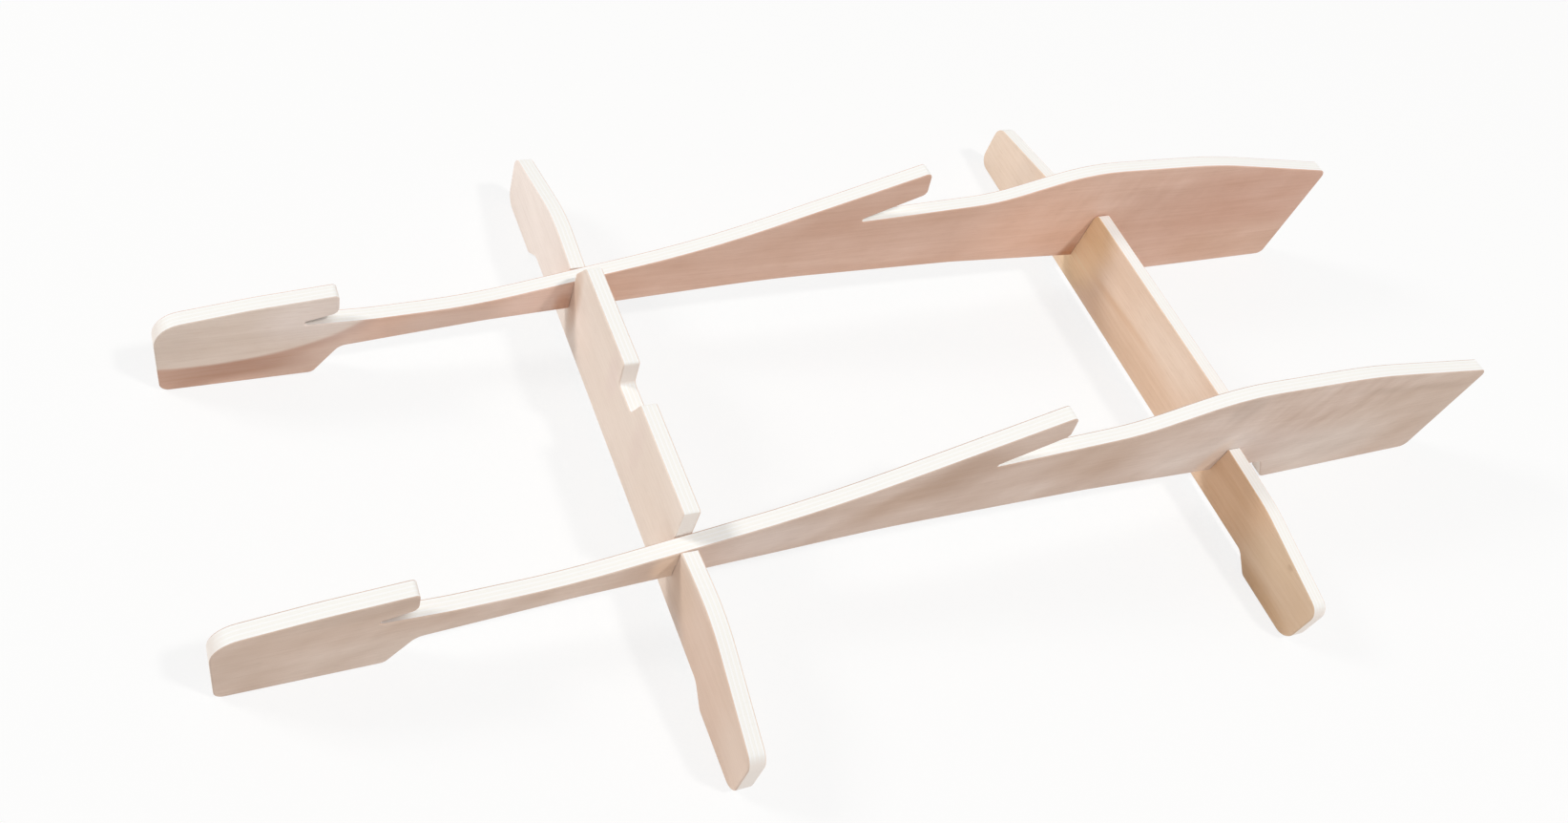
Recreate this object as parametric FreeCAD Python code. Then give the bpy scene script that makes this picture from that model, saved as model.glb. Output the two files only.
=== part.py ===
import FreeCAD, Part
import math
import os

# Board stand: two shaped rails on edge, lapped over two crossbars.
# Millimetres, +Z up. The origin lies on the floor, under the middle of the stand.
# +X runs from the rails' heads to their tails, and stations count from the head end.

# Plywood and fits
board = 12.0                # thickness of every board
slot_play = 0.3             # play between a board and each wall of its slot
edge_round = 1.0            # sanded rims of every board

# Layout
rail_pitch = 226.0          # between the rails' middle planes
front_setback = 282.5       # head end to the front crossbar's middle plane
rear_setback = 233.0        # tail end to the rear crossbar's middle plane

# Rail: head and hook
head_top = 61.0             # top of the head at its free end
head_round = 20.0           # upper corner of the free end
crown_run = 62.0            # free end to where the head's top bends
crown = 9.0                 # rise of the top up to there
crown_round = 250.0
hook_tip = 115.0            # head end to the hook's upright face
hook_face = 16.5            # height of that face
hook_top_round = 3.0
hook_lip_round = 6.0        # lower corner of the face
hook_reach = 34.5           # depth of the notch under the hook
hook_gape = 8.5             # rise of the hook's underside along the notch
notch_round = 2.0           # inner end of a rail's notches

# Rail: neck, arm and finger
neck_run = 20.0             # hook's face to the neck's lowest point
neck_top = 48.0             # top of the neck there
neck_fall = 2.0             # fall of the neck from the notch to there
neck_round = 200.0
sweep_run = 70.0            # nearly level top
sweep = 2.3
sweep_round = 400.0
climb_run = 168.0           # rise over the front crossbar
climb = 32.2
climb_round = 700.0
arm_run = 167.5             # straight slope up to the finger's tip
finger_floor = 95.9         # inner end of the notch under the finger
finger_reach = 56.7         # depth of that notch
finger_gape = 24.3          # rise of the finger's underside along it
finger_face = 21.6          # height of the finger's blunt end
finger_lean = 4.0           # how far the blunt end's lower corner stands out
finger_top_round = 4.0
finger_nose_round = 5.0

# Rail: tail, from the finger's blunt end
dip_run = 72.5              # nearly level top
dip_rise = 6.5
dip_round = 180.0
crest_run = 81.0            # slope up to the crest
crest_rise = 23.4
crest_round = 200.0
haunch_run = 131.0          # slow fall
haunch_fall = 2.4
haunch_round = 500.0
tail_run = 137.0            # faster fall to the free end
tail_fall = 19.7
tail_round = 8.0            # upper corner of the free end

# Rail: feet and underside
head_foot = 97.5            # flat under the head
tail_foot = 165.0           # flat under the tail
foot_round = 6.0            # outer corners of the feet
foot_slope = 18.0           # run of the slope beside each foot
crook_round = 10.0          # inner corner at the top of that slope
neck_under = 24.4           # underside behind the head's foot
neck_lift_run = 99.5        # rise of the underside below the neck
neck_lift = 9.3
arch_run = 215.0            # slower rise from there to the highest point of the underside
arch_rise = 9.5
arch_round = 900.0
under_fall_run = 183.0      # last fall of the underside to the tail's foot
haunch_under = 38.9         # underside where that fall begins
tail_under = 26.1           # underside in front of the tail's foot
under_round = 300.0

# Both crossbars
overhang = 141.2            # rail's middle plane to the crossbar's end
crossbar_foot = 58.0        # flat under each end
crossbar_slope = 15.0       # run of the slope beside each foot
crossbar_recess = 11.5      # underside between the feet
crossbar_end_round = 11.0
shoulder_round = 120.0      # where the top starts to fall towards each end

# Front crossbar
front_shoulder = 64.5       # top beside the rail
front_swell_run = 55.0      # rail's middle plane to where the top starts to fall
front_swell = 4.3           # rise of the top up to there
front_end_top = 45.0        # top at the ends
front_rise = 25.8           # raised middle above the shoulder
front_middle_inset = 5.5    # slot's inner wall to the raised middle's corner, before the shift
front_middle_round = 3.0
front_middle_shift = 6.0    # the raised middle's and the notch mouth's centre towards the right rail
notch_floor = 23.5          # width of the floor of the notch in the raised middle
notch_floor_shift = 1.8     # the floor's centre towards the right rail
notch_flare = 5.0           # how far each side leans out, before the shifts
notch_depth = 19.8
notch_mouth_round = 2.5
notch_floor_round = 3.0

# Rear crossbar
rear_shoulder = 57.0
rear_ease_run = 60.0        # rail's middle plane to where the top falls faster
rear_ease = 1.8             # fall of the top up to there
rear_end_top = 41.6
rear_rise = 21.4
rear_middle_inset = 1.5
rear_middle_round = 3.0

# Stations of the rail's top, counted from the head end
neck_low = hook_tip + neck_run
sweep_end = neck_low + sweep_run
arm_start = sweep_end + climb_run
finger_tip = arm_start + arm_run
finger_nose = finger_tip + finger_lean
dip_end = finger_nose + dip_run
crest = dip_end + crest_run
haunch = crest + haunch_run
rail_length = haunch + tail_run

# Heights of the rail's top
hook_floor = neck_top + neck_fall
hook_lip = hook_floor + hook_gape
sweep_top = neck_top + sweep
finger_low = finger_floor + finger_gape
dip_top = finger_floor + dip_rise
crest_top = dip_top + crest_rise
haunch_top = crest_top - haunch_fall

head_x = -rail_length / 2                       # X of station 0
front_x = head_x + front_setback
rear_x = head_x + rail_length - rear_setback
rail_y = rail_pitch / 2
crossbar_end = rail_y + overhang
slot_width = board + 2 * slot_play
slot_inner = rail_y - slot_width / 2            # crossbar slot's wall on the middle's side
rim = min(edge_round, 0.6 * notch_round)        # the rims turn inside the notches too


def rounded_wire(corners, place):
    # Closed outline through corners (a, b, radius); each arc is held to the room beside its corner
    edges = []
    first = None
    last = None
    for i, (a, b, radius) in enumerate(corners):
        here = FreeCAD.Vector(a, b, 0)
        before = FreeCAD.Vector(*corners[i - 1][:2], 0) - here
        after = FreeCAD.Vector(*corners[(i + 1) % len(corners)][:2], 0) - here
        room = 0.48 * min(before.Length, after.Length)
        half = before.getAngle(after) / 2
        reach = min(radius / math.tan(half), room)
        before.normalize()
        after.normalize()
        start = here + before * reach
        end = here + after * reach
        bisector = (before + after).normalize()
        depth = reach / math.cos(half) - reach * math.tan(half)
        middle = here + bisector * depth
        if last is None:
            first = start
        else:
            edges.append(Part.LineSegment(place(last), place(start)).toShape())
        edges.append(Part.Arc(place(start), place(middle), place(end)).toShape())
        last = end
    edges.append(Part.LineSegment(place(last), place(first)).toShape())
    return Part.Wire(edges)


def sanded_board(wire, across):
    # Board of the outline's shape, with its two rims rounded over
    blank = Part.Face(wire).extrude(across * board)
    rims = []
    for edge in blank.Edges:
        if abs(edge.tangentAt(edge.FirstParameter).dot(across)) < 0.5:
            rims.append(edge)
    return blank.makeFillet(rim, rims)


def rail_blank(y):
    # Rail without its slots, with its middle plane at y
    tail_start = rail_length - tail_foot
    tail_crook = tail_start - foot_slope
    neck_crook = head_foot + foot_slope
    arch_foot = neck_crook + neck_lift_run
    arch_under = neck_under + neck_lift
    corners = [
        (0, 0, foot_round),
        (head_foot, 0, foot_round),
        (neck_crook, neck_under, crook_round),
        (arch_foot, arch_under, under_round),
        (arch_foot + arch_run, arch_under + arch_rise, arch_round),
        (tail_crook - under_fall_run, haunch_under, under_round),
        (tail_crook, tail_under, crook_round),
        (tail_start, 0, foot_round),
        (rail_length, 0, foot_round),
        (rail_length, haunch_top - tail_fall, tail_round),
        (haunch, haunch_top, haunch_round),
        (crest, crest_top, crest_round),
        (dip_end, dip_top, dip_round),
        (finger_nose - finger_reach, finger_floor, notch_round),
        (finger_nose, finger_low, finger_nose_round),
        (finger_tip, finger_low + finger_face, finger_top_round),
        (arm_start, sweep_top + climb, climb_round),
        (sweep_end, sweep_top, sweep_round),
        (neck_low, neck_top, neck_round),
        (hook_tip - hook_reach, hook_floor, notch_round),
        (hook_tip, hook_lip, hook_lip_round),
        (hook_tip, hook_lip + hook_face, hook_top_round),
        (crown_run, head_top + crown, crown_round),
        (0, head_top, head_round),
    ]

    def place(point):
        return FreeCAD.Vector(head_x + point.x, y - board / 2, point.y)

    return sanded_board(rounded_wire(corners, place), FreeCAD.Vector(0, 1, 0))


def seat_height(x, shoulder):
    # Cross-laps meet halfway up the height that the rail and the crossbar's shoulder share
    column = Part.makeLine(FreeCAD.Vector(x, 0, -rail_length), FreeCAD.Vector(x, 0, rail_length))
    span = rail_blank(0).common(column).BoundBox
    return (span.ZMin + min(span.ZMax, shoulder)) / 2


def rail(y, seats):
    # Rail with a slot up to the seat on each crossbar
    solid = rail_blank(y)
    for x, seat in seats:
        corner = FreeCAD.Vector(x - slot_width / 2, y - board, -board)
        solid = solid.cut(Part.makeBox(slot_width, 2 * board, seat + board, corner))
    return solid


def crossbar(x, seat, half_top):
    # Crossbar with a slot down to the seat of each rail; half_top runs from its end to its middle,
    # and the last value of each of its corners is how far that pair of corners is moved to the right
    foot_start = crossbar_end - crossbar_foot
    half = [
        (foot_start - crossbar_slope, crossbar_recess, crook_round, 0),
        (foot_start, 0, foot_round, 0),
        (crossbar_end, 0, crossbar_end_round, 0),
    ]
    half += half_top
    corners = [(a - shift, b, radius) for a, b, radius, shift in half]
    corners += [(-a - shift, b, radius) for a, b, radius, shift in reversed(half)]

    def place(point):
        return FreeCAD.Vector(x - board / 2, point.x, point.y)

    solid = sanded_board(rounded_wire(corners, place), FreeCAD.Vector(1, 0, 0))
    height = solid.BoundBox.ZMax
    for y in (-rail_y, rail_y):
        corner = FreeCAD.Vector(x - board, y - slot_width / 2, seat)
        solid = solid.cut(Part.makeBox(2 * board, slot_width, height, corner))
    return solid


def front_crossbar(seat):
    middle = front_shoulder + front_rise
    return crossbar(front_x, seat, [
        (crossbar_end, front_end_top, crossbar_end_round, 0),
        (rail_y + front_swell_run, front_shoulder + front_swell, shoulder_round, 0),
        (rail_y, front_shoulder, foot_round, 0),
        (slot_inner - front_middle_inset, middle, front_middle_round, front_middle_shift),
        (notch_floor / 2 + notch_flare, middle, notch_mouth_round, front_middle_shift),
        (notch_floor / 2, middle - notch_depth, notch_floor_round, notch_floor_shift),
    ])


def rear_crossbar(seat):
    return crossbar(rear_x, seat, [
        (crossbar_end, rear_end_top, crossbar_end_round, 0),
        (rail_y + rear_ease_run, rear_shoulder - rear_ease, shoulder_round, 0),
        (rail_y, rear_shoulder, foot_round, 0),
        (slot_inner - rear_middle_inset, rear_shoulder + rear_rise, rear_middle_round, 0),
    ])


front_seat = seat_height(front_x, front_shoulder)
rear_seat = seat_height(rear_x, rear_shoulder)
seats = [(front_x, front_seat), (rear_x, rear_seat)]

parts = {
    "left_rail": rail(rail_y, seats),
    "right_rail": rail(-rail_y, seats),
    "front_crossbar": front_crossbar(front_seat),
    "rear_crossbar": rear_crossbar(rear_seat),
}

os.makedirs("parts", exist_ok=True)
for name, shape in parts.items():
    shape.exportStep("parts/" + name + ".step")
    print(name, "valid" if shape.isValid() else "INVALID", len(shape.Solids), "solid", round(shape.Volume), "mm3")
print("seats at", round(front_seat, 2), round(rear_seat, 2))
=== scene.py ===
import bpy
from math import pi, radians
from mathutils import Matrix, Vector


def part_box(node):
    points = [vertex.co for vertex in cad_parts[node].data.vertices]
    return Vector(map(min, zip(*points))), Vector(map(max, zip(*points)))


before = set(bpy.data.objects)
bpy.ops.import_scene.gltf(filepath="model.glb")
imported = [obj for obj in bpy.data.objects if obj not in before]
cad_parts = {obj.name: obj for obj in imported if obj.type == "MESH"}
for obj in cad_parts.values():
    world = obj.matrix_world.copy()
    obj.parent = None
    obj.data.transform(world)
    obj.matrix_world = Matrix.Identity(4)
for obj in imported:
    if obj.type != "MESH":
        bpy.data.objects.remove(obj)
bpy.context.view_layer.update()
print("frame loaded:", ", ".join(sorted(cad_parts)))

scene = bpy.context.scene
scene.view_settings.view_transform = "Standard"
mm = 1000.0     # in a metre


def toLinear(hexColour):
    # sRGB hex to the linear values that the sockets take
    shares = [int(hexColour[i:i + 2], 16) / 255 for i in (1, 3, 5)]
    return [c / 12.92 if c <= 0.04045 else ((c + 0.055) / 1.055) ** 2.4 for c in shares] + [1.0]


def addNode(tree, kind, inputs=None, **settings):
    # one node with its settings; an input that is a socket gets linked, any other value is set
    made = tree.nodes.new("ShaderNode" + kind)
    for name, value in settings.items():
        setattr(made, name, value)
    for name, value in (inputs or {}).items():
        if isinstance(value, bpy.types.NodeSocket):
            tree.links.new(value, made.inputs[name])
        else:
            made.inputs[name].default_value = value
    return made.outputs


def newMaterial(name):
    material = bpy.data.materials.new(name)
    material.use_nodes = True
    material.node_tree.nodes.clear()
    return material, material.node_tree


def seenDirectly(tree):
    # 1 for rays that show the background itself: straight, in a gloss or through glass
    path = addNode(tree, "LightPath")
    straightOrGloss = {0: path["Is Camera Ray"], 1: path["Is Glossy Ray"]}
    either = addNode(tree, "Math", straightOrGloss, operation="MAXIMUM")[0]
    orThrough = {0: either, 1: path["Is Transmission Ray"]}
    return addNode(tree, "Math", orThrough, operation="MAXIMUM")[0]


# Twelve-millimetre plywood, all four boards: okoume faces on a poplar core
sheet = {
    "thickness": 12.0,              # mm, as all lengths here
    "faceVeneer": 0.9,              # left after sanding
    "corePlies": 7,
    "glueLine": 0.22,               # real ones are 0.1 mm, drawn wider so that they show
    "glueShare": 0.35,
    "skinBlend": 0.1,               # half the width over which veneer turns into core
    "core": "#FDFDFC",
    "coreEnd": "#FAF9F5",           # plies seen end on
    "glue": "#F0E8DC",
    "endGrain": "#F7EEE7",          # upright cuts across the grain
    "endGrainFacing": (0.5, 0.9),   # share of the cut's normal along the board where that starts and is full
    "leafStep": 37.0,               # sets the figure of a board's two leaves apart
    "richness": 1.3,                # colour that darker wood gains
    "poreNoise": (0.6, 0.72),       # where a pore starts and is full
    "poreShare": 0.14,
    "bumpStrength": 0.25, "bumpHeight": 0.2,
    "faceRoughness": 0.6, "edgeRoughness": 0.75,
    "ior": 1.5,
    "ovalDepth": 1000.0,            # far more than the sheet, so that an oval goes right through
    # length and width of one streak in mm, then the noise's detail and roughness
    "wave": (210.0, 80.0, 2.0, 0.45),       # how the grain lines wander
    "grain": {
        "band": (420.0, 18.0, 2.0, 0.5),
        "cloud": (52.0, 24.0, 3.0, 0.5),
        "streak": (120.0, 2.6, 4.0, 0.55),
        "fibre": (30.0, 0.9, 2.0, 0.55),
        "pore": (11.0, 0.8, 1.0, 0.4),      # real pores are 0.25 mm wide, drawn wider so that they show
        "curl": (46.0, 13.0, 2.0, 0.5),
    },
}
halfCore = sheet["thickness"] / 2 - sheet["faceVeneer"]     # from the sheet's middle to the veneer


def boardGrid(tree, board):
    # board millimetres: x along the grain, y through the sheet from its middle, z up
    lo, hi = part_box(board["node"])
    middle = (lo + hi) / 2 * mm
    lengthwise = board["grain"] == "X"
    toBoard = {"Vector": addNode(tree, "TexCoord")["Object"], "Scale": (mm, mm, mm)}
    toBoard["Location"] = (0.0, -middle.y, 0.0) if lengthwise else (0.0, middle.x, 0.0)
    toBoard["Rotation"] = (0.0, 0.0, 0.0 if lengthwise else -pi / 2)
    return addNode(tree, "Mapping", toBoard)[0]


def oval(tree, grid, shape, soft, share):
    # soft oval seen from the face: share inside, 0 outside
    x, z, halfLength, halfHeight, lean = shape
    ownGrid = {"Vector": grid, "Location": (x, 0, z), "Rotation": (0, radians(-lean), 0)}
    ownGrid["Scale"] = (halfLength, sheet["ovalDepth"], halfHeight)
    inside = addNode(tree, "Mapping", ownGrid, vector_type="TEXTURE")[0]
    reach = addNode(tree, "VectorMath", {0: inside}, operation="LENGTH")["Value"]
    fade = {"Value": reach, "From Min": 1 - soft, "From Max": 1 + soft, "To Min": share, "To Max": 0.0}
    return addNode(tree, "MapRange", fade, interpolation_type="SMOOTHSTEP")[0]


def sandedVeneer(tree, board, grid):
    # Bare sanded okoume: soft clouds, faint long grain and fine pores; gives the colour and the relief
    along, through, up = addNode(tree, "SeparateXYZ", {0: grid})

    # each face is its own veneer leaf, and the marks that were seen are on the leaf towards the viewer
    seen = addNode(tree, "Math", {0: through, 1: 0.0}, operation=board["seenSide"])[0]
    number = {0: seen, 1: sheet["leafStep"], 2: board["seed"]}
    leafNumber = addNode(tree, "Math", number, operation="MULTIPLY_ADD")[0]
    leaf = addNode(tree, "CombineXYZ", {0: along, 1: up, 2: leafNumber})[0]

    # grain lines wander a few millimetres over a hand's width
    length, width, detail, roughness = sheet["wave"]
    sized = {"Vector": leaf, "Scale": (length, width, 1.0)}
    place = addNode(tree, "Mapping", sized, vector_type="TEXTURE")[0]
    noise = {"Vector": place, "Scale": 1.0, "Detail": detail, "Roughness": roughness}
    drift = addNode(tree, "TexNoise", noise)[0]
    bend = addNode(tree, "Math", {0: drift, 1: board["wander"], 2: up}, operation="MULTIPLY_ADD")[0]
    grain = addNode(tree, "CombineXYZ", {0: along, 1: bend, 2: leafNumber})[0]
    layers = {}
    for layer, (length, width, detail, roughness) in sheet["grain"].items():
        sized = {"Vector": grain, "Scale": (length, width, 1.0)}
        sized["Rotation"] = (0.0, 0.0, radians(board["lean"].get(layer, 0.0)))
        place = addNode(tree, "Mapping", sized, vector_type="TEXTURE")[0]
        noise = {"Vector": place, "Scale": 1.0, "Detail": detail, "Roughness": roughness}
        layers[layer] = addNode(tree, "TexNoise", noise)[0]

    # broad veneer figure, and painted light and shade in corners and in the rails' cast shadows
    colour = toLinear(board["veneer"])
    for *shape, soft, share, tint in board["marksAndPaintedShading"]:
        cover = oval(tree, grid, shape, soft, share)
        cover = addNode(tree, "Math", {0: cover, 1: seen}, operation="MULTIPLY")[0]
        colour = addNode(tree, "MixRGB", {"Fac": cover, "Color1": colour, "Color2": toLinear(tint)})[0]

    # lighter and darker wood, from the broad bands down to the fibres; darker wood is richer in colour
    tone = 1.0
    contrast = dict(board["contrast"])
    if board["curly"]:
        *shape, soft, share = board["curly"]
        contrast["curl"] = oval(tree, grid, shape, soft, share)
    for layer, share in contrast.items():
        centred = addNode(tree, "Math", {0: layers[layer], 1: 0.5}, operation="SUBTRACT")[0]
        tone = addNode(tree, "Math", {0: centred, 1: share, 2: tone}, operation="MULTIPLY_ADD")[0]
    gain = {0: tone, 1: -sheet["richness"], 2: 1 + sheet["richness"]}
    richness = addNode(tree, "Math", gain, operation="MULTIPLY_ADD")[0]
    figured = addNode(tree, "HueSaturation", {"Color": colour, "Value": tone, "Saturation": richness})[0]

    start, full = sheet["poreNoise"]
    pores = addNode(tree, "MapRange", {"Value": layers["pore"], "From Min": start, "From Max": full})[0]
    poreShare = addNode(tree, "Math", {0: pores, 1: sheet["poreShare"]}, operation="MULTIPLY")[0]
    pored = {"Fac": poreShare, "Color1": figured, "Color2": toLinear(board["pore"])}
    colour = addNode(tree, "MixRGB", pored)[0]
    relief = addNode(tree, "Math", {0: pores, 1: -1.0, 2: layers["streak"]}, operation="MULTIPLY_ADD")[0]
    return colour, relief


def cutEdge(tree, board, grid):
    # Sawn poplar core: pale plies, every other one end on, between thin glue lines
    through = addNode(tree, "SeparateXYZ", {0: grid})[1]
    ply = 2 * halfCore / sheet["corePlies"]
    counted = {0: through, 1: 1 / ply, 2: halfCore / ply}
    count = addNode(tree, "Math", counted, operation="MULTIPLY_ADD")[0]
    plyNumber = addNode(tree, "Math", {0: count}, operation="FLOOR")[0]
    endOn = addNode(tree, "Math", {0: plyNumber, 1: 2.0}, operation="FLOORED_MODULO")[0]
    plies = {"Fac": endOn, "Color1": toLinear(sheet["core"]), "Color2": toLinear(sheet["coreEnd"])}
    core = addNode(tree, "MixRGB", plies)[0]
    fromGlue = addNode(tree, "Math", {0: count, 1: 0.5}, operation="PINGPONG")[0]
    thin = {"Value": fromGlue, "From Max": sheet["glueLine"] / ply}
    glue = addNode(tree, "MapRange", {**thin, "To Min": sheet["glueShare"], "To Max": 0.0})[0]
    colour = addNode(tree, "MixRGB", {"Fac": glue, "Color1": core, "Color2": toLinear(sheet["glue"])})[0]

    # upright cuts show more end grain
    boardAxis = (1, 0, 0) if board["grain"] == "X" else (0, 1, 0)
    facing = {0: addNode(tree, "TexCoord")["Normal"], 1: boardAxis}
    square = addNode(tree, "VectorMath", facing, operation="DOT_PRODUCT")["Value"]
    upright = addNode(tree, "Math", {0: square}, operation="ABSOLUTE")[0]
    start, full = sheet["endGrainFacing"]
    ends = addNode(tree, "MapRange", {"Value": upright, "From Min": start, "From Max": full})[0]
    across = {"Fac": ends, "Color1": colour, "Color2": toLinear(sheet["endGrain"])}
    colour = addNode(tree, "MixRGB", across)[0]

    # painted shade: browner where a notch is tight, standing in for the light that the hook keeps out
    for *shape, soft, share, tint in board["paintedNotchShade"]:
        cover = oval(tree, grid, shape, soft, share)
        colour = addNode(tree, "MixRGB", {"Fac": cover, "Color1": colour, "Color2": toLinear(tint)})[0]
    return colour


def plywood(board):
    # Sanded bare plywood: figured faces, pale layered edges, no shine
    material, tree = newMaterial(board["finish"])
    grid = boardGrid(tree, board)
    face, relief = sandedVeneer(tree, board, grid)
    edge = cutEdge(tree, board, grid)

    through = addNode(tree, "SeparateXYZ", {0: grid})[1]
    depth = addNode(tree, "Math", {0: through}, operation="ABSOLUTE")[0]
    blend = sheet["skinBlend"]
    skin = {"Value": depth, "From Min": halfCore - blend, "From Max": halfCore + blend}
    onFace = addNode(tree, "MapRange", skin)[0]
    colour = addNode(tree, "MixRGB", {"Fac": onFace, "Color1": edge, "Color2": face})[0]
    worked = {**skin, "To Min": sheet["edgeRoughness"], "To Max": sheet["faceRoughness"]}
    roughness = addNode(tree, "MapRange", worked)[0]
    raised = {"Strength": sheet["bumpStrength"], "Distance": sheet["bumpHeight"] / mm, "Height": relief}
    bump = addNode(tree, "Bump", raised)[0]
    wood = {"Base Color": colour, "Roughness": roughness, "IOR": sheet["ior"], "Normal": bump}
    shader = addNode(tree, "BsdfPrincipled", wood)[0]
    addNode(tree, "OutputMaterial", {"Surface": shader})

    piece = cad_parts[board["node"]]
    piece.data.materials.clear()
    piece.data.materials.append(material)
    print("plywood on", board["node"])


# seenSide: the face towards the viewer, on which side of the sheet's middle it lies
# wander: how far the grain lines drift (mm); contrast and lean (degrees) are for the layers of the grain
# marksAndPaintedShading: veneer figure and painted light and shade; x and z of the middle, half length and
# half height (mm), lean (degrees), softness, share, colour
# curly: the same oval for the curly part of the leaf, with its softness and contrast
# paintedNotchShade: painted shade, the same ovals as on the faces, on the cut edges
leftRail = {
    "node": "left_rail", "grain": "X", "finish": "okoumePlySandedLeftRail", "seed": 3.0,
    "seenSide": "LESS_THAN",
    "veneer": "#E0BCA9", "pore": "#B98D76", "wander": 14.0,
    "contrast": {"band": 0.12, "cloud": 0.22, "streak": 0.16, "fibre": 0.08},
    "lean": {"cloud": 8.0, "curl": 75.0},
    "curly": (270, 95, 90, 35, 0, 0.6, 0.14),               # under the crest
    "paintedNotchShade": [(-383, 52, 13, 6, 8, 0.5, 0.32, "#94705A")],    # painted shade in the notch under the hook
    "marksAndPaintedShading": [
        (-385, 20, 35, 18, 25, 0.6, 0.7, "#DDC4B6"),        # greyer foot of the head
        (-458, 75, 127, 61, 0, 0.07, 0.6, "#BC917C"),       # dark heartwood along the sapwood's edge
        (-440, 14, 45, 9, 3, 0.6, 0.85, "#B58A74"),
        (-475, 8, 20, 10, 0, 0.6, 0.6, "#C29A85"),
        (-458, 75, 120, 54, 0, 0.03, 0.95, "#E3D2C5"),      # pale sapwood over the head, with a clear edge
        (-475, 45, 18, 18, 0, 0.7, 0.4, "#D3C1B4"),         # greyer at its end
        (-382, 56, 34, 20, 5, 0.5, 0.5, "#F4E8E3"),         # pinker towards the hook
        (-290, 38, 40, 12, 5, 0.6, 0.6, "#D4BDB1"),         # greyer neck, pinker towards the crossbar
        (-230, 48, 24, 16, 5, 0.6, 0.8, "#EED1C4"),
        (-211, 41, 7, 11, 8, 0.5, 0.6, "#CB9676"),          # painted shade: brown in the corner beside the crossbar, where its shadow falls
        (-10, 98, 26, 12, 20, 0.6, 0.4, "#D0A48C"),         # darker cloud at the finger's root
        (10, 55, 70, 3, -4, 0.8, 0.4, "#EBCBB9"),           # pale streak along the arm
        (187, 75, 55, 40, 0, 0.7, 0.9, "#F1CAB5"),          # pinker wood before the crest and under it
        (235, 88, 42, 30, 0, 0.6, 0.5, "#EECBB8"),
        (238, 30, 8, 14, -8, 0.6, 0.8, "#C78C65"),          # painted shade: brown in the corner beside the crossbar, where its shadow falls
        (320, 116, 140, 14, -2, 0.6, 0.55, "#F0CCB9"),      # pinker crest, redder end, browner foot
        (420, 77, 90, 50, 0, 0.7, 0.55, "#D8A891"),
        (430, 22, 70, 25, 0, 0.6, 0.5, "#DFBAA3"),
    ],
}
rightRail = {
    "node": "right_rail", "grain": "X", "finish": "okoumePlySandedRightRail", "seed": 11.0,
    "seenSide": "LESS_THAN",
    "veneer": "#D8C0B1", "pore": "#A88D7B", "wander": 18.0,
    "contrast": {"band": 0.10, "cloud": 0.34, "streak": 0.14, "fibre": 0.08},
    "lean": {"cloud": 22.0, "curl": 72.0},
    "curly": (300, 98, 110, 32, -5, 0.5, 0.34),             # under the crest and along the tail's top
    "paintedNotchShade": [(-383, 52, 13, 6, 8, 0.5, 0.5, "#94705A")],     # painted shade in the notch under the hook
    "marksAndPaintedShading": [
        (-425, 30, 85, 55, 0, 0.5, 0.7, "#DBC3B2"),         # warmer head, grey end, paler foot
        (-470, 25, 18, 25, 0, 0.7, 0.5, "#C9B09E"),
        (-395, 16, 48, 18, 5, 0.6, 0.5, "#E9D7CA"),
        (-400, 68, 40, 9, 4, 0.6, 0.5, "#C3AA98"),          # dark streak along the hook
        (-260, 43, 60, 16, 5, 0.6, 0.6, "#DEC8B8"),         # paler neck
        (-212, 48, 10, 16, 8, 0.5, 0.9, "#F2D8C2"),         # painted light: paler orange in the shaded corner beside the crossbar
        (-150, 58, 40, 16, 10, 0.7, 0.8, "#E6D4CA"),
        (-50, 76, 38, 12, 17, 0.6, 0.65, "#C8AA95"),        # dark clouds that climb to the finger's root
        (-10, 94, 32, 20, 25, 0.6, 0.8, "#BD9E89"),
        (45, 105, 40, 14, 22, 0.6, 0.6, "#CCAF9D"),
        (62, 74, 14, 18, 30, 0.7, 0.4, "#DFCBC1"),          # pale gap between them and the next cloud
        (110, 80, 60, 24, 0, 0.6, 0.7, "#CBAE9A"),
        (197, 78, 48, 38, 20, 0.7, 0.6, "#E4D1C6"),         # pale wood before the crest and under it
        (225, 112, 14, 14, 0, 0.5, 0.5, "#C1AA9B"),         # grey spot on the crest
        (226, 52, 44, 25, 0, 0.6, 0.7, "#F0E3DB"),
        (235, 46, 8, 22, -8, 0.6, 0.9, "#EED6C3"),          # painted light: paler orange in the shaded corner beside the crossbar
        (290, 45, 60, 25, -10, 0.7, 0.6, "#E0CFC6"),
        (430, 60, 90, 60, 0, 0.6, 0.6, "#D3BBA9"),          # browner end of the tail, pale foot
        (358, 28, 58, 32, 0, 0.6, 0.7, "#E4D5CB"),
        (375, 101, 34, 4, -8, 0.8, 0.4, "#BFA593"),         # broken streak in the tail
        (442, 93, 34, 4, -10, 0.8, 0.4, "#BFA593"),
    ],
}
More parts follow.
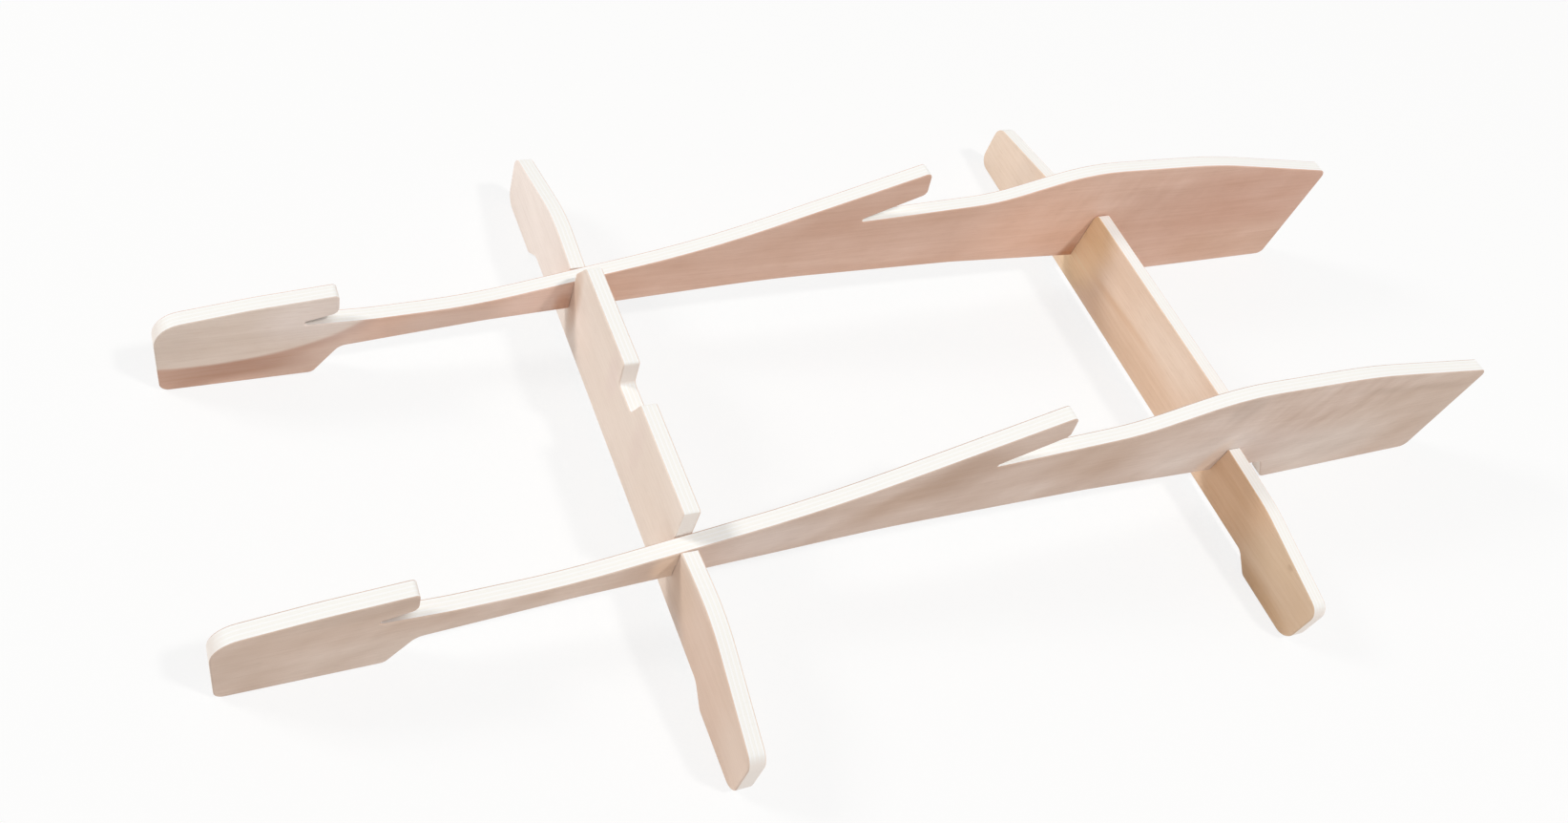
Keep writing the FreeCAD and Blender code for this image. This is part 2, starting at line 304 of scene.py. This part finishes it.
frontCrossbar = {
    "node": "front_crossbar", "grain": "Y", "finish": "okoumePlySandedFrontCrossbar", "seed": 23.0,
    "seenSide": "GREATER_THAN",
    "veneer": "#F2E1D4", "pore": "#CDB29F", "wander": 10.0,
    "contrast": {"band": 0.06, "cloud": 0.12, "streak": 0.10, "fibre": 0.06},
    "lean": {"cloud": 10.0},
    "curly": None,
    "paintedNotchShade": [],
    "marksAndPaintedShading": [
        (190, 35, 100, 50, 0, 0.5, 0.9, "#FAEDE5"),         # palest at the far end, tan at the near one
        (-75, 50, 35, 40, 0, 0.6, 0.3, "#EFDCCB"),
        (-200, 30, 85, 50, 0, 0.25, 0.9, "#E2C6B3"),
        (-135, 44, 16, 22, 0, 0.6, 0.5, "#DBC0A9"),         # painted shade, browner in the near rail's shadow, and painted light, paler under the rail
        (-140, 8, 16, 14, 0, 0.6, 0.6, "#F6E3D6"),
        (-245, 30, 25, 30, 0, 0.6, 0.6, "#E6D0C0"),
        (88, 38, 22, 28, 55, 0.6, 0.35, "#FCE6D6"),         # painted light, warmer in the far rail's shadow, and painted shade, brown in the corner
        (102, 52, 9, 32, 0, 0.6, 0.8, "#DBBCA6"),
        (20, 68, 8, 18, 0, 0.7, 0.5, "#EBD6CD"),            # pinkish clouds by the notch
        (-34, 62, 8, 22, 0, 0.7, 0.5, "#EBD6CB"),
    ],
}
rearCrossbar = {
    "node": "rear_crossbar", "grain": "Y", "finish": "okoumePlySandedRearCrossbar", "seed": 31.0,
    "seenSide": "GREATER_THAN",
    "veneer": "#F1D7C1", "pore": "#BE9672", "wander": 10.0,
    "contrast": {"band": 0.12, "cloud": 0.12, "streak": 0.16, "fibre": 0.08},
    "lean": {"cloud": 4.0},
    "curly": None,
    "paintedNotchShade": [],
    "marksAndPaintedShading": [
        (225, 30, 48, 45, 0, 0.5, 0.8, "#F4E0CE"),          # paler far end, greyer towards the rail
        (195, 38, 14, 30, 0, 0.6, 0.5, "#E6D1BF"),
        (-35, 62, 50, 14, 0, 0.6, 0.6, "#F9E5D3"),          # paler upper half
        (10, 24, 85, 18, 0, 0.5, 0.5, "#E2BE9F"),           # browner lower half below a dark streak
        (35, 41, 45, 3, -3, 0.8, 0.5, "#DDB48E"),
        (99, 54, 26, 44, 0, 0.55, 0.9, "#FFDDB3"),          # painted light: orange in the far rail's shadow, standing in for light off the rail, and paler pink in the shaded corner below
        (66, 10, 16, 12, 0, 0.6, 0.6, "#FFE2CC"),
        (-150, 35, 45, 40, 0, 0.5, 0.9, "#E6BE99"),         # painted shade, browner where the near rail's shadow falls; brown near end, with a cloud and two streaks
        (-225, 25, 50, 45, 0, 0.5, 0.9, "#D6B99C"),
        (-208, 35, 20, 14, -20, 0.7, 0.5, "#E0C4A6"),
        (-214, 5, 32, 9, 0, 0.7, 0.55, "#C39A70"),
        (-140, 40, 26, 4, 0, 0.8, 0.4, "#D2A374"),
        (-216.5, 44, 2.5, 2, 0, 0.6, 0.35, "#B08A68"),      # pin knot
    ],
}
for board in (leftRail, rightRail, frontCrossbar, rearCrossbar):
    plywood(board)


# White paper floor that runs out of sight, with the stand's soft shadow left on it
# the paper's own white grows with the distance, so that no far edge shows
floor = {
    "side": 30.0, "drop": 0.0003,       # metres; just below the stand's feet
    "paper": "#F5F5F4",
    "glow": 0.8,                        # share of the paper's own white round the stand
    "fadeFrom": 1.2, "fadeTo": 5.0,     # metres from the middle between which that grows to all of it
}


def layFloor():
    half = floor["side"] / 2
    turns = ((-half, -half), (half, -half), (half, half), (-half, half))
    mesh = bpy.data.meshes.new("floor")
    mesh.from_pydata([(x, y, -floor["drop"]) for x, y in turns], [], [(0, 1, 2, 3)])
    piece = bpy.data.objects.new("floor", mesh)
    scene.collection.objects.link(piece)
    material, tree = newMaterial("mattWhitePaper")
    paper = addNode(tree, "BsdfDiffuse", {"Color": toLinear(floor["paper"])})[0]
    white = addNode(tree, "Emission", {"Strength": 1.0})[0]
    place = addNode(tree, "TexCoord")["Object"]
    away = addNode(tree, "VectorMath", {0: place}, operation="LENGTH")["Value"]
    fade = {"Value": away, "From Min": floor["fadeFrom"], "From Max": floor["fadeTo"]}
    glow = addNode(tree, "MapRange", {**fade, "To Min": floor["glow"]})[0]
    share = addNode(tree, "Math", {0: seenDirectly(tree), 1: glow}, operation="MULTIPLY")[0]
    both = addNode(tree, "MixShader", {0: share, 1: paper, 2: white})[0]
    addNode(tree, "OutputMaterial", {"Surface": both})
    mesh.materials.append(material)
    print("floor laid")


layFloor()

# Soft room light from all round, a window behind the head end and a lamp in front of the tail end
# places and sides in metres, power in watts
light = {
    "sky": 0.42,
    "window": {"place": (-3.62, 2.13, 2.72), "side": 1.2, "power": 89.0, "colour": "#FFFEFB"},
    "lamp": {"place": (1.72, -1.85, 4.31), "side": 0.5, "power": 101.0, "colour": "#FFFCF8"},
}


def lightRoom():
    world = bpy.data.worlds.new("room")
    scene.world = world
    world.use_nodes = True
    tree = world.node_tree
    tree.nodes.clear()
    lit = addNode(tree, "Background", {"Color": (1, 1, 1, 1), "Strength": light["sky"]})[0]
    white = addNode(tree, "Background", {"Color": (1, 1, 1, 1), "Strength": 1.0})[0]
    both = addNode(tree, "MixShader", {0: seenDirectly(tree), 1: lit, 2: white})[0]
    addNode(tree, "OutputWorld", {"Surface": both})
    for name in ("window", "lamp"):
        data = bpy.data.lights.new(name, "AREA")
        data.size = light[name]["side"]
        data.energy = light[name]["power"]
        data.color = toLinear(light[name]["colour"])[:3]
        piece = bpy.data.objects.new(name, data)
        piece.location = light[name]["place"]
        piece.rotation_euler = (-Vector(light[name]["place"])).to_track_quat("-Z", "Y").to_euler()
        scene.collection.objects.link(piece)
    print("room lit")


lightRoom()

# The photograph's view, 1643 x 862: from above the head end on the right, tipped to one side
view = {
    "place": (-0.4938, -0.4721, 0.7443),
    "aim": (-0.1254, -0.0069, 0.0),     # where the lens points on the floor
    "roll": 22.323,                     # degrees
    "lens": 30.333, "sensor": 36.0,     # mm
    "shift": (0.0449, 0.0233),          # the picture's middle lies right of and above the lens axis
    "nearest": 0.02,                    # metres from the lens
}


def setCamera():
    data = bpy.data.cameras.new("camera")
    data.sensor_width = view["sensor"]
    data.lens = view["lens"]
    data.shift_x, data.shift_y = view["shift"]
    data.clip_start = view["nearest"]
    camera = bpy.data.objects.new("camera", data)
    look = (Vector(view["aim"]) - Vector(view["place"])).to_track_quat("-Z", "Y")
    roll = Matrix.Rotation(radians(view["roll"]), 4, "Z")
    camera.matrix_world = Matrix.Translation(view["place"]) @ look.to_matrix().to_4x4() @ roll
    scene.collection.objects.link(camera)
    scene.camera = camera
    print("camera set")


setCamera()
